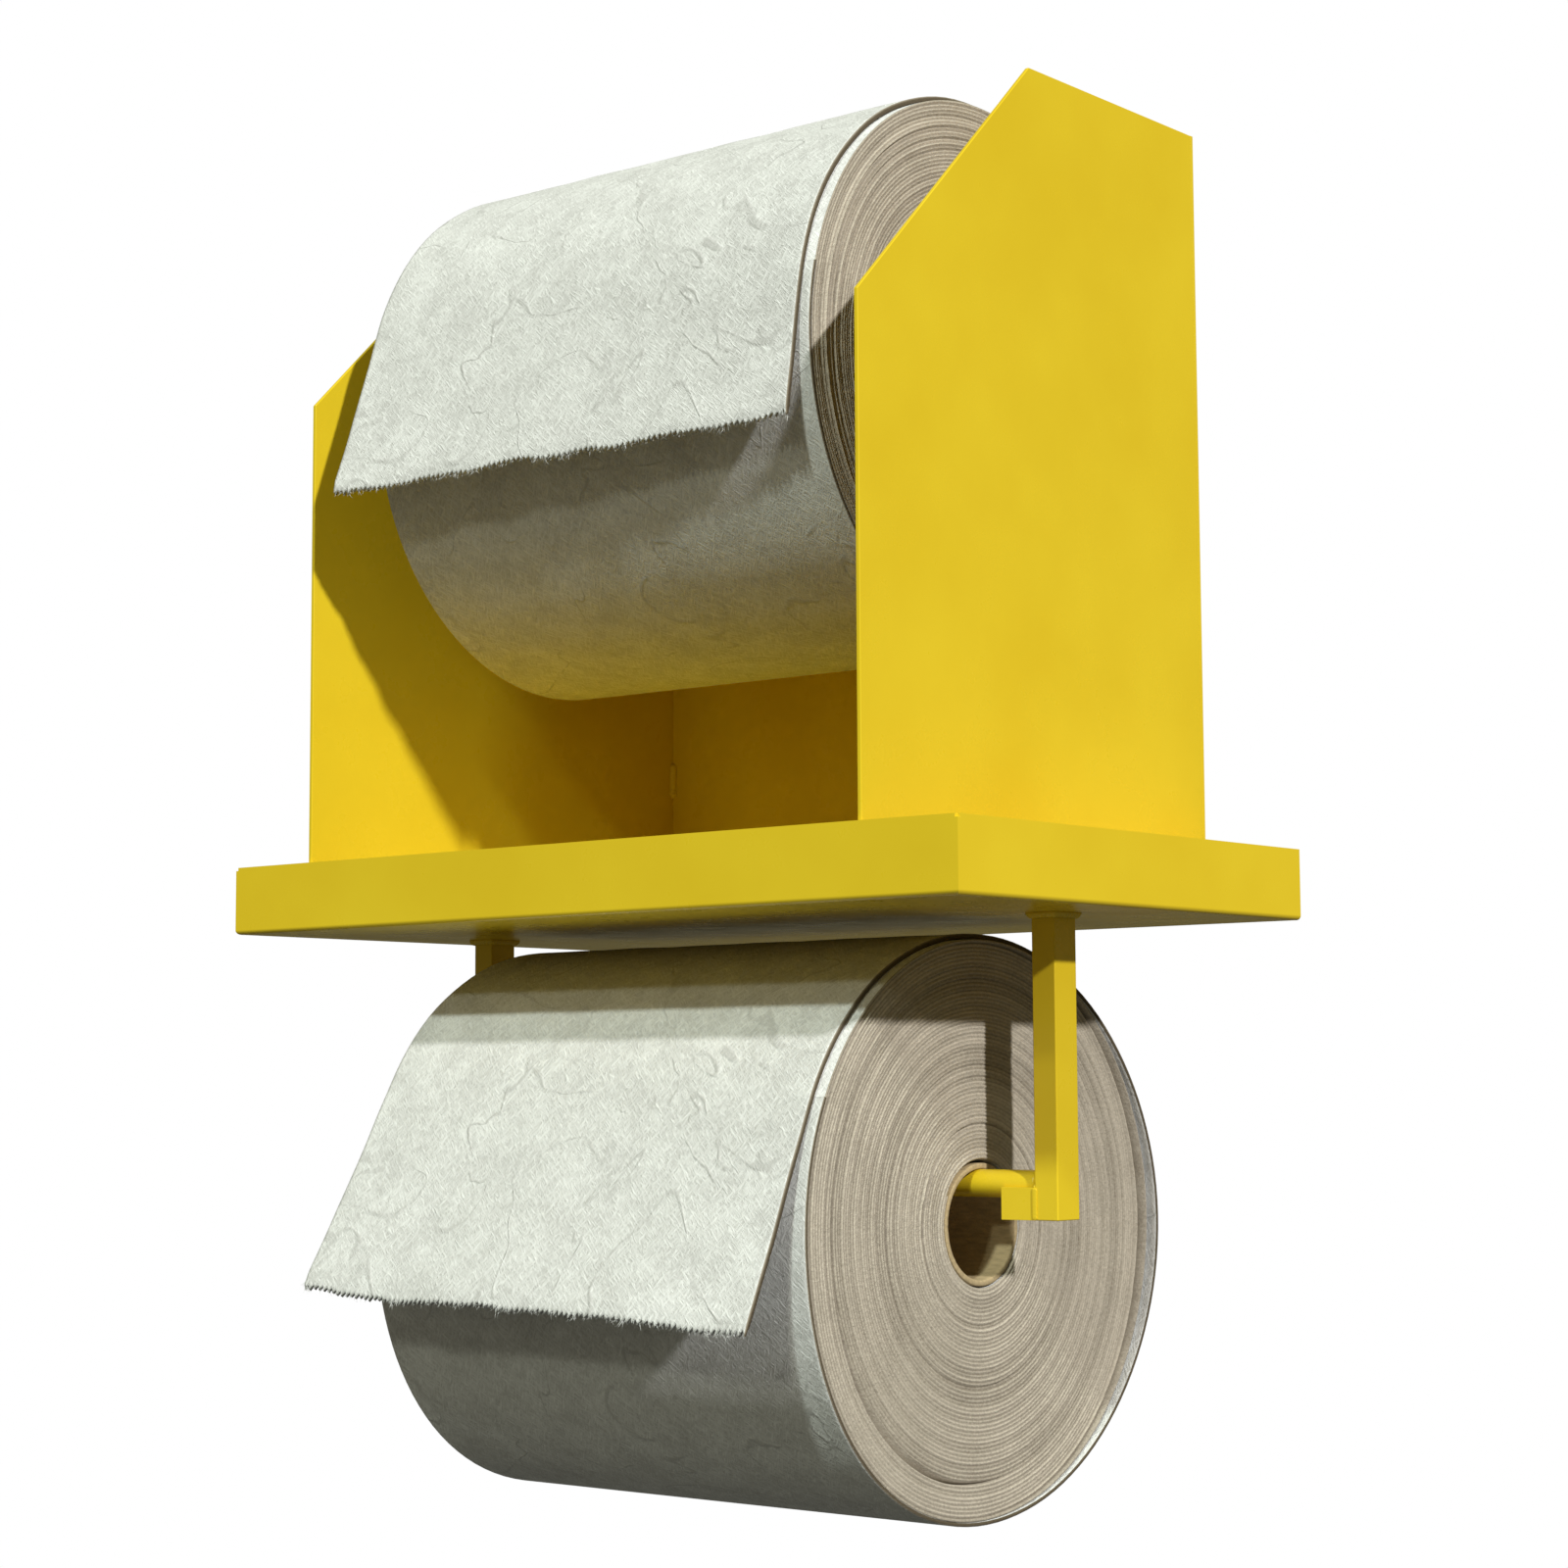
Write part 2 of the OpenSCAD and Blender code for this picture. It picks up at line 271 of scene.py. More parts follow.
def melt_blown_felt(name, light, dark, crease, fuzz):
    """Melt-blown polypropylene felt: a matt web of fine fibres, pale on the ridges and grey
    between them, with shallow creases from being wound. The grey between the fibres and the
    darkening along the creases are painted shade; a slow cloud gives the felt's own uneven
    tone. It reads the piece's own UV map, which is laid out in metres along and across the mat."""
    made, tree, shader = new_material(name)
    cloth = add(tree, "TexCoord").outputs["UV"]
    # Fibres lie every way, so two stretched patterns cross each other. A fibre is finer
    # than 0.1 mm; it is drawn 1.4 mm wide so that it shows.
    heights = []
    for turned in (0.55, -0.85):
        along = add(tree, "Mapping", {
            "Vector": cloth, "Rotation": (0, 0, turned),
            "Scale": (1.4 * MM, 8 * MM, 1.0)}, vector_type="TEXTURE")
        heights.append(add(tree, "TexNoise", {
            "Vector": along, "Scale": 1.0, "Detail": 2.0,
            "Roughness": 0.55, "Distortion": 0.9}))
    web = add(tree, "Math", {0: heights[0], 1: heights[1]}, operation="MAXIMUM")
    # Creases wander over several centimetres and fade in and out.
    ridge = add(tree, "TexNoise", {
        "Vector": cloth, "Scale": per_metre(120), "Detail": 3.0, "Roughness": 0.5,
        "Distortion": 0.7})
    ridge = add(tree, "Math", {
        0: ridge, 1: 0.5}, operation="SUBTRACT")
    ridge = add(tree, "Math", {0: ridge}, operation="ABSOLUTE")
    ridge = add(tree, "MapRange", {
        "Value": ridge, "From Min": 0.0, "From Max": 0.011,
        "To Min": 1.0, "To Max": 0.0}, interpolation_type="SMOOTHSTEP")
    cloud = add(tree, "TexNoise", {
        "Vector": cloth, "Scale": per_metre(32), "Detail": 3.0, "Roughness": 0.6})
    fade = add(tree, "MapRange", {
        "Value": cloud, "From Min": 0.42, "From Max": 0.58})
    ridge = add(tree, "Math", {
        0: ridge, 1: fade}, operation="MULTIPLY")
    # Tone mixes the felt's own slow cloud with painted shade: grey where the fibre web is low,
    # darker along the creases
    shade = add(tree, "Math", {
        0: cloud, 1: 0.4, 2: web}, operation="MULTIPLY_ADD")
    shade = add(tree, "Math", {
        0: ridge, 1: -0.2, 2: shade}, operation="MULTIPLY_ADD")
    shade = add(tree, "MapRange", {
        "Value": shade, "From Min": 0.60, "From Max": 0.90})
    tone = add(tree, "Mix", {
        0: shade, 6: (*dark, 1), 7: (*light, 1)}, data_type="RGBA")
    relief = add(tree, "Math", {
        0: ridge, 1: crease, 2: web}, operation="MULTIPLY_ADD")
    bump = add(tree, "Bump", {
        "Height": relief, "Distance": fuzz * MM, "Strength": 0.8})
    fill(tree, shader, {
        "Base Color": tone, "Normal": bump, "Roughness": 0.95,
        "Specular IOR Level": 0.15, "Sheen Weight": 0.12, "Sheen Roughness": 0.6})
    return made


def wound_edge(name, mat):
    """The slit edges of wound felt: each turn has its own tone, the gaps between the turns
    get painted shade, and the cut fibres make a fine grain, drawn at 2.2 mm so that it
    shows. The ply attribute is the turn's own tone. The hollow attribute is painted shade: 1
    in the gap between two turns, and more where turns have parted or lie in shadow."""
    made, tree, shader = new_material(name)
    place = add(tree, "TexCoord").outputs["Object"]
    ply = add(tree, "Attribute", attribute_name="ply").outputs["Fac"]
    hollow = add(tree, "Attribute", attribute_name="hollow").outputs["Fac"]
    grain = add(tree, "TexNoise", {
        "Vector": place, "Scale": per_metre(2.2), "Detail": 4.0, "Roughness": 0.7})
    patch = add(tree, "TexNoise", {
        "Vector": place, "Scale": per_metre(40), "Detail": 3.0, "Roughness": 0.6})
    # Painted shade from the hollow attribute, broken up by the grain
    dark = add(tree, "Math", {
        0: hollow, 1: grain}, operation="MULTIPLY")
    dark = add(tree, "MapRange", {
        "Value": dark, "From Min": 0.1, "From Max": 0.75,
        "To Min": 0.0, "To Max": 0.34}, clamp=False)
    grainy = add(tree, "MapRange", {
        "Value": grain, "From Min": 0.35, "From Max": 0.7,
        "To Min": 0.42, "To Max": 0.0})
    dark = add(tree, "Math", {
        0: dark, 1: grainy}, operation="ADD")
    dark = add(tree, "Math", {0: dark, 1: ply}, operation="SUBTRACT")
    spots = add(tree, "MapRange", {
        "Value": patch, "From Min": 0.3, "From Max": 0.7,
        "To Min": -0.06, "To Max": 0.08})
    dark = add(tree, "Math", {
        0: dark, 1: spots}, operation="ADD", use_clamp=True)
    # The shade colour carries painted shade as well as the grain, the spots and each turn's own
    # tone
    tone = add(tree, "Mix", {
        0: dark, 6: (*mat.edge, 1), 7: (*mat.edge_shade, 1)}, data_type="RGBA")
    bump = add(tree, "Bump", {
        "Height": grain, "Distance": 1.2 * MM, "Strength": 0.8})
    fill(tree, shader, {
        "Base Color": tone, "Normal": bump, "Roughness": 0.95,
        "Specular IOR Level": 0.15})
    return made


def wound_board(name, mat):
    """Spiral-wound kraft board: a matt brown paper face with long pulp streaks."""
    made, tree, shader = new_material(name)
    place = add(tree, "TexCoord").outputs["Object"]
    streak = add(tree, "Mapping", {
        "Vector": place, "Rotation": (0.5, 0, 0), "Scale": (0.25, 1.0, 1.0)})
    pulp = add(tree, "TexNoise", {
        "Vector": streak, "Scale": per_metre(2.5), "Detail": 5.0,
        "Roughness": 0.65})
    pale = add(tree, "MapRange", {
        "Value": pulp, "From Min": 0.35, "From Max": 0.7})
    tone = add(tree, "Mix", {
        0: pale, 6: (*[c * 0.72 for c in mat.board], 1),
        7: (*mat.board, 1)}, data_type="RGBA")
    bump = add(tree, "Bump", {
        "Height": pulp, "Distance": 0.15 * MM, "Strength": 0.6})
    fill(tree, shader, {
        "Base Color": tone, "Normal": bump, "Roughness": 0.85,
        "Specular IOR Level": 0.25})
    return made


# ------------------------------------------------------------------ mesh helpers


def grid_faces(rows, columns, first=0, close_rows=False, close_columns=False):
    """The quads of a grid of points stored row by row from an index, either way closed."""
    r = np.arange(rows if close_rows else rows - 1)
    c = np.arange(columns if close_columns else columns - 1)
    r, c = np.meshgrid(r, c, indexing="ij")
    r2, c2 = (r + 1) % rows, (c + 1) % columns
    quads = np.stack([r * columns + c, r2 * columns + c, r2 * columns + c2, r * columns + c2], -1)
    return quads.reshape(-1, 4) + first


def rod_faces(rows, columns):
    """The faces of a closed grid of rings, with one many-sided face at each end."""
    ring = np.arange(columns)[None, :]
    last = (rows - 1) * columns
    return [grid_faces(rows, columns, close_columns=True), ring, (ring + last)[:, ::-1]]


def new_piece(name, points, faces, materials, body, stands_for=()):
    """A smooth mesh object at the origin that rides on a body. Faces are lists of
    index arrays, one list for each material."""
    mesh = bpy.data.meshes.new(name)
    flat = [face for group in faces for block in group for face in np.asarray(block).tolist()]
    mesh.from_pydata(np.asarray(points).reshape(-1, 3).tolist(), [], flat)
    counts = [sum(len(block) for block in group) for group in faces]
    mesh.polygons.foreach_set("material_index", np.repeat(np.arange(len(faces)), counts))
    mesh.polygons.foreach_set("use_smooth", np.ones(len(flat), bool))
    for made in materials:
        mesh.materials.append(made)
    mesh.update()
    piece = place_object(name, mesh)
    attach(piece, body)
    if stands_for:
        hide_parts(*stands_for)
    return piece


def set_attribute(piece, name, values):
    """Stores one number for each point of a piece."""
    layer = piece.data.attributes.new(name, "FLOAT", "POINT")
    layer.data.foreach_set("value", np.asarray(values, np.float32).ravel())


def set_uv(piece, u, v):
    """Lays out a piece's UV map from one pair of numbers for each point."""
    corner = np.empty(len(piece.data.loops), np.int32)
    piece.data.loops.foreach_get("vertex_index", corner)
    layer = piece.data.uv_layers.new(name="UVMap")
    layer.data.foreach_set("uv", np.stack([u.ravel()[corner], v.ravel()[corner]], -1).ravel())


def face_outwards(piece):
    """Turns all faces of a closed piece outwards."""
    work = bmesh.new()
    work.from_mesh(piece.data)
    bmesh.ops.recalc_face_normals(work, faces=work.faces)
    work.to_mesh(piece.data)
    work.free()


def smooth_step(x, low=0.0, high=1.0):
    """Rises smoothly from 0 at low to 1 at high."""
    t = np.clip((x - low) / (high - low), 0, 1)
    return t * t * (3 - 2 * t)


def hill(phi, centre, half_width):
    """A smooth hill of height 1 round an angle, 0 beyond the half width."""
    away = np.abs((phi - math.radians(centre) + math.pi) % TURN - math.pi)
    return 1 - smooth_step(away, 0, math.radians(half_width))


# ------------------------------------------------------------------ steelwork

PLATES = ("tray_pan", "back_panel", "side_panel_left", "side_panel_right")
BLOCKS = (
    "upper_saddle_left", "upper_saddle_right", "lower_saddle_left", "lower_saddle_right",
    "hanger_left", "hanger_right",
)


def soften(node, radius, paint):
    """A copy of a CAD node with its triangles joined in pairs and every sharp edge
    rounded by a bevel of that radius."""
    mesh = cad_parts[node].data.copy()
    work = bmesh.new()
    work.from_mesh(mesh)
    bmesh.ops.remove_doubles(work, verts=work.verts, dist=0.002 * MM)
    bmesh.ops.join_triangles(
        work, faces=work.faces, angle_face_threshold=math.radians(0.4),
        angle_shape_threshold=math.radians(180),
    )
    work.to_mesh(mesh)
    work.free()
    mesh.materials.clear()
    mesh.materials.append(paint)
    mesh.polygons.foreach_set("use_smooth", np.ones(len(mesh.polygons), bool))
    piece = place_object(node + "_enamelled", mesh)
    bevel = piece.modifiers.new("Deburred edges", "BEVEL")
    bevel.width = radius
    bevel.segments = 3
    bevel.limit_method = "ANGLE"
    bevel.angle_limit = math.radians(25)
    weighted = piece.modifiers.new("Flat faces", "WEIGHTED_NORMAL")
    weighted.keep_sharp = True
    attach(piece, "steel_frame")
    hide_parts(node)


def bead(path, first_leg, second_leg, leg, ripple, closed=False):
    """The points and faces of a fillet weld. Along the path s, its section swings from
    the first leg to the second through q from 0 to 1, a little convex. Crescent
    ripples swell it by a few hundredths, and its ends taper to a round stop."""
    path = np.asarray(path, float)
    step = np.diff(path, axis=0, append=path[:1] if closed else path[-1:])
    s = np.concatenate([[0], np.cumsum(np.linalg.norm(step, axis=1))[:-1]])[:, None]
    q = np.linspace(0, 1, 8)[None, :]
    wave = np.abs(np.sin(math.pi * (s - 2.6 * leg * q * (1 - q)) / ripple)) ** 0.7
    size = leg * (0.93 + 0.12 * wave) * (1 + 0.42 * np.sin(math.pi * q))
    if not closed:
        end = 0.9 * leg
        near = np.minimum(s, s[-1] - s)
        size = size * np.sqrt(np.clip(1 - (1 - np.clip(near / end, 0.06, 1)) ** 2, 0, 1))
    swing = (1 - q)[..., None] * np.asarray(first_leg)[..., None, :]
    swing = swing + q[..., None] * np.asarray(second_leg)[..., None, :]
    arc = path[:, None, :] + size[..., None] * swing
    # The bead's root lies a little inside the corner that it fills
    inwards = (np.asarray(first_leg) + np.asarray(second_leg))[..., None, :]
    root = path[:, None, :] - 0.12 * leg * inwards
    points = np.concatenate([root + 0 * arc[:, :1], arc], 1)
    rows, columns = points.shape[:2]
    if closed:
        faces = [grid_faces(rows, columns, close_rows=True, close_columns=True)]
    else:
        faces = rod_faces(rows, columns)
    return points.reshape(-1, 3), faces


def line(start, end, spacing):
    """Evenly spaced points from start to end."""
    start, end = np.asarray(start, float), np.asarray(end, float)
    count = max(4, round(np.linalg.norm(end - start) / spacing))
    return start + np.linspace(0, 1, count)[:, None] * (end - start)


def weld_piece(name, beads, paint):
    """One piece of all of a weld node's beads, on both sides of the middle."""
    points, faces, first = [], [], 0
    for bead_points, bead_faces in beads:
        for side in (-1, 1):
            points.append(bead_points * [side, 1, 1])
            faces += [block[:, ::side] + first for block in bead_faces]
            first += len(bead_points)
    piece = new_piece(
        name + "_beads", np.concatenate(points), [faces], [paint], "steel_frame",
        [name],
    )
    face_outwards(piece)


def lay_welds(steel, paint):
    """Lays every weld where the frame's own plates and blocks meet."""
    tray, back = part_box("tray_pan"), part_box("back_panel")
    panel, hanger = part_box("side_panel_right"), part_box("hanger_right")
    sheet = back[1].y - back[0].y
    leg, ripple, step = steel.leg, steel.ripple, steel.ripple / 5
    right, front, up = np.eye(3) * [1, -1, 1]
    floor = panel[0].z
    flange_in = tray[1].x - sheet
    flange_y = tray[0].y + sheet

    def upright(x, y, low, high, first_leg, second_leg):
        run = line((x, y, low), (x, y, high), step)
        return bead(run, first_leg, second_leg, leg, ripple)

    corner_top = tray[1].z - 2.4 * MM
    weld_piece("tray_corner_welds", [
        upright(flange_in, flange_y, floor, corner_top, -right, -front),
        upright(flange_in, back[0].y, floor, corner_top, -right, front),
    ], paint)

    foot = [
        upright(panel[1].x, flange_y, floor, tray[1].z, right, -front),
        upright(panel[0].x, flange_y, floor, tray[1].z, -right, -front),
    ]
    for y0, y1 in stitches(flange_y, back[0].y):
        run = line((panel[1].x, y0, floor), (panel[1].x, y1, floor), step)
        foot.append(bead(run, right, up, leg, ripple))
    weld_piece("panel_foot_welds", foot, paint)

    weld_piece("back_seam_welds", [
        upright(panel[0].x, back[0].y, z0, z1, -right, front)
        for z0, z1 in stitches(tray[1].z, panel[1].z)
    ], paint)

    # Round the top of a hanger: each side is a line, each corner a quarter circle
    turn = np.linspace(0, TURN, 240, endpoint=False)
    out = np.stack([np.cos(turn), np.sin(turn), 0 * turn], -1)
    half = np.array([hanger[1].x - hanger[0].x, hanger[1].y - hanger[0].y, 0]) / 2
    reach = np.clip(out * 1.6, -1, 1) * half
    middle = np.array([hanger[0].x + half[0], hanger[0].y + half[1], hanger[1].z])
    weld_piece("hanger_welds", [
        bead(middle + reach, out, np.broadcast_to(-up, out.shape), leg, ripple, closed=True)
    ], paint)

    weld_piece("saddle_welds", saddle_beads(leg, ripple, step, right, front, up), paint)


def stitches(low, high, count=3, size=30 * MM):
    """The ends of short runs of weld spread evenly between two places."""
    pitch = (high - low) / count
    centres = low + pitch * (np.arange(count) + 0.5)
    return [(c - size / 2, c + size / 2) for c in centres]


def saddle_beads(leg, ripple, step, right, front, up):
    """The beads that hold the saddles: two on each saddle's top beside the bar, one
    under the upper saddle and a low bead over the lower saddle's flush seam."""
    beads = []
    for level in ("upper", "lower"):
        low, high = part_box(level + "_saddle_right")
        land = 2.9 * MM
        for y in (low.y, high.y - land):
            run = line((high.x, y, high.z), (high.x, y + land, high.z), step / 2)
            beads.append(bead(run, -right, up, land * 0.9, ripple))
        if level == "upper":
            run = line((high.x, low.y, low.z), (high.x, high.y, low.z), step)
            beads.append(bead(run, -right, -up, leg, ripple))
        else:
            run = line((high.x, low.y, low.z), (high.x, low.y, high.z), step / 2)
            beads.append(bead(run, right + 0.25 * front, -right + 0.25 * front, leg / 2, ripple))
    return beads


# ------------------------------------------------------------------ bars and cores

BAR_SEGMENTS = 96
CORE_SEGMENTS = 120
CORE_WALL = 4 * MM
CORE_LIP = 0.8 * MM  # depth of a rim's rounding
STRIP_PITCH = 118 * MM  # run of the paper strip along the core in one turn


def turned(profile, centre, segments):
    """The points of a profile of (x, radius) turned round a line along X, as rows along
    the profile by columns round the line, and the columns' angles."""
    theta = np.arange(segments) / segments * TURN
    x, r = profile[:, 0][:, None], profile[:, 1][:, None]
    points = np.stack([
        x + 0 * theta, centre.y - r * np.sin(theta), centre.z + r * np.cos(theta)
    ], -1)
    return points, theta


def round_bar(level, steel, paint):
    """A round bar with chamfered ends, turned from the CAD bar's own size."""
    low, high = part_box(level + "_bar")
    centre, radius, cut = (low + high) / 2, (high.z - low.z) / 2, steel.bar_chamfer
    ends = [(low.x, 0.05 * radius), (low.x, 0.6 * radius), (low.x, radius - cut),
            (low.x + 0.15 * cut, radius - 0.75 * cut), (low.x + cut, radius - 0.1 * cut),
            (low.x + 1.4 * cut, radius)]
    spans = [(x, radius) for x in np.linspace(low.x + 6 * MM, high.x - 6 * MM, 24)]
    profile = np.array(ends + spans + [(low.x + high.x - x, r) for x, r in ends[::-1]])
    points, _ = turned(profile, centre, BAR_SEGMENTS)
    piece = new_piece(
        level + "_bar_turned", points, [rod_faces(*points.shape[:2])],
        [paint], "top_bar" if level == "upper" else "bottom_bar",
        [level + "_bar"],
    )
    face_outwards(piece)


def core_tube(level, body, board):
    """A spiral-wound cardboard tube. Its section is a thin rectangle with rounded
    rims. A shallow groove, where the edges of the paper strip meet, winds along both
    walls, and the saw-cut rims are slightly ragged."""
    low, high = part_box(level + "_core")
    centre, outer = (low + high) / 2, (high.z - low.z) / 2
    wall, lip = CORE_WALL, CORE_LIP
    across = np.linspace(low.x + lip, high.x - lip, 110)
    rim = np.array([(0.3, 0.08), (0, 0.3), (0, 0.7), (0.3, 0.92)]) * [lip, wall]
    inner = np.stack([across, 0 * across + outer - wall], -1)
    profile = np.concatenate([
        inner, np.stack([high.x - rim[:, 0], outer - wall + rim[:, 1]], -1),
        np.stack([across[::-1], 0 * across + outer], -1),
        np.stack([low.x + rim[:, 0], outer - rim[:, 1]], -1),
    ])
    points, theta = turned(profile, centre, CORE_SEGMENTS)
    phase = (profile[:, :1] / STRIP_PITCH + theta / TURN) % 1
    groove = np.exp(-(((phase - 0.5) * STRIP_PITCH / (0.9 * MM)) ** 2))
    inward = np.where(profile[:, 1] < outer - wall / 2, 1, -1)[:, None] * 0.35 * MM * groove
    ragged = 0.25 * MM * np.sin(17 * theta + 3 * np.sin(5 * theta))
    on_rim = (profile[:, 0] > high.x - lip) * 1.0 - (profile[:, 0] < low.x + lip) * 1.0
    points[..., 0] -= on_rim[:, None] * np.abs(ragged)
    points[..., 1] -= inward * np.sin(theta)
    points[..., 2] += inward * np.cos(theta)
    rows, columns = points.shape[:2]
    faces = [grid_faces(rows, columns, close_rows=True, close_columns=True)]
    piece = new_piece(
        level + "_core_tube", points, [faces], [board], body, [level + "_core"]
    )
    face_outwards(piece)


# ------------------------------------------------------------------ rolls

SEGMENTS = 144  # steps round one turn of a roll
# Where the outer turns have parted, and where they have slipped: the middle and the half
# width of each place, in degrees round the roll
CRACK = (142, 52)
SLIP = (-88, 112)
OUTSIDE_CRACK = 9  # turns that lie outside the crack
TIGHT = 100  # degrees round the roll where a slipped turn meets the next one


class Winding:
    """The shape of one roll: where each turn of its mat lies."""

    def __init__(self, level, roll, mat):
        low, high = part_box(level + "_roll")
        core_low, core_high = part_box(level + "_core")
        self.level, self.roll = level, roll
        self.body = "top_roll" if level == "upper" else "bottom_roll"
        self.centre = (low + high) / 2
        self.left, self.right = low.x, high.x
        self.bore = (core_high.z - core_low.z) / 2 + 0.3 * MM
        self.turns = round((roll.front - self.bore) / mat.wound_t)
        self.random = np.random.default_rng(7 if level == "upper" else 11)
        self.stray = self.random.normal(0, 1, self.turns + 3)

    def outline(self, phi):
        """Radius of the wound body at an angle. It blends the four set radii by the
        squares of the angle's cosine and sine."""
        c, s = np.cos(phi), np.sin(phi)
        roll = self.roll
        return (
            np.clip(c, 0, 1) ** 2 * roll.top + np.clip(-c, 0, 1) ** 2 * roll.bottom
            + np.clip(s, 0, 1) ** 2 * roll.front + np.clip(-s, 0, 1) ** 2 * roll.rear
        )

    def turn_at(self, phi):
        """How many turns from the core an unwrapped angle is."""
        return self.turns + (phi - self.start()) / TURN

    def looseness(self, phi):
        """How far a turn has come loose at the rear: 1 for the outermost, less for the
        two under it. It changes where the turns lie tight, a little below the front."""
        wrap = np.floor((phi - math.radians(TIGHT)) / TURN)
        level = np.select([wrap >= -1, wrap == -2, wrap == -3], [1.0, 0.52, 0.16], 0.0)
        return level * hill(phi, *SLIP)

    def radius(self, phi, part=0.0):
        """Radius of the mat's inner face at an unwrapped angle, or of a point that
        part of the way through the mat."""
        turn = self.turn_at(phi)
        crack = self.roll.crack * hill(phi, *CRACK) * (turn > self.turns - OUTSIDE_CRACK)
        opened = 0.36 * self.roll.slide * self.looseness(phi)
        share = (turn + part) / self.turns
        return self.bore + share * (self.outline(phi) - self.bore) + crack + opened

    def slide(self, phi):
        """Distance along X that the mat has slipped at an unwrapped angle: the last
        turns stand out at the rear, and each turn strays a little by its own amount."""
        turn = np.clip(self.turn_at(phi), 0, self.turns + 1)
        whole = np.floor(turn).astype(int)
        part = turn - whole
        stray = self.stray[whole] * (1 - part) + self.stray[whole + 1] * part
        proud = 1.2 * MM * (np.abs(stray) > 1.5) * np.sign(stray) * hill(phi, 120, 150)
        return 0.42 * MM * stray + proud + self.roll.slide * self.looseness(phi)

    def set_back_at(self, x):
        """How far the outermost turns lie back at a place along X. They run a little
        forward at the left end and further back at the right one."""
        half = (self.right - self.left) / 2
        return self.roll.skew * ((x - self.centre.x) / half + 0.5)

    def place(self, x, phi, r):
        """Points of the roll at a place along X, an angle and a radius."""
        x, phi, r = np.broadcast_arrays(x, phi, r)
        share = np.clip((r - self.bore) / (self.roll.front - self.bore), 0, 1.1)
        back = self.set_back_at(x) * share**2
        return np.stack([
            x, self.centre.y - r * np.sin(phi) + back, self.centre.z + r * np.cos(phi)
        ], -1)

    def start(self):
        """The angle at which the mat's last turn begins, one turn before it leaves."""
        return (self.roll.leave_left + self.roll.leave_right) / 2 - TURN


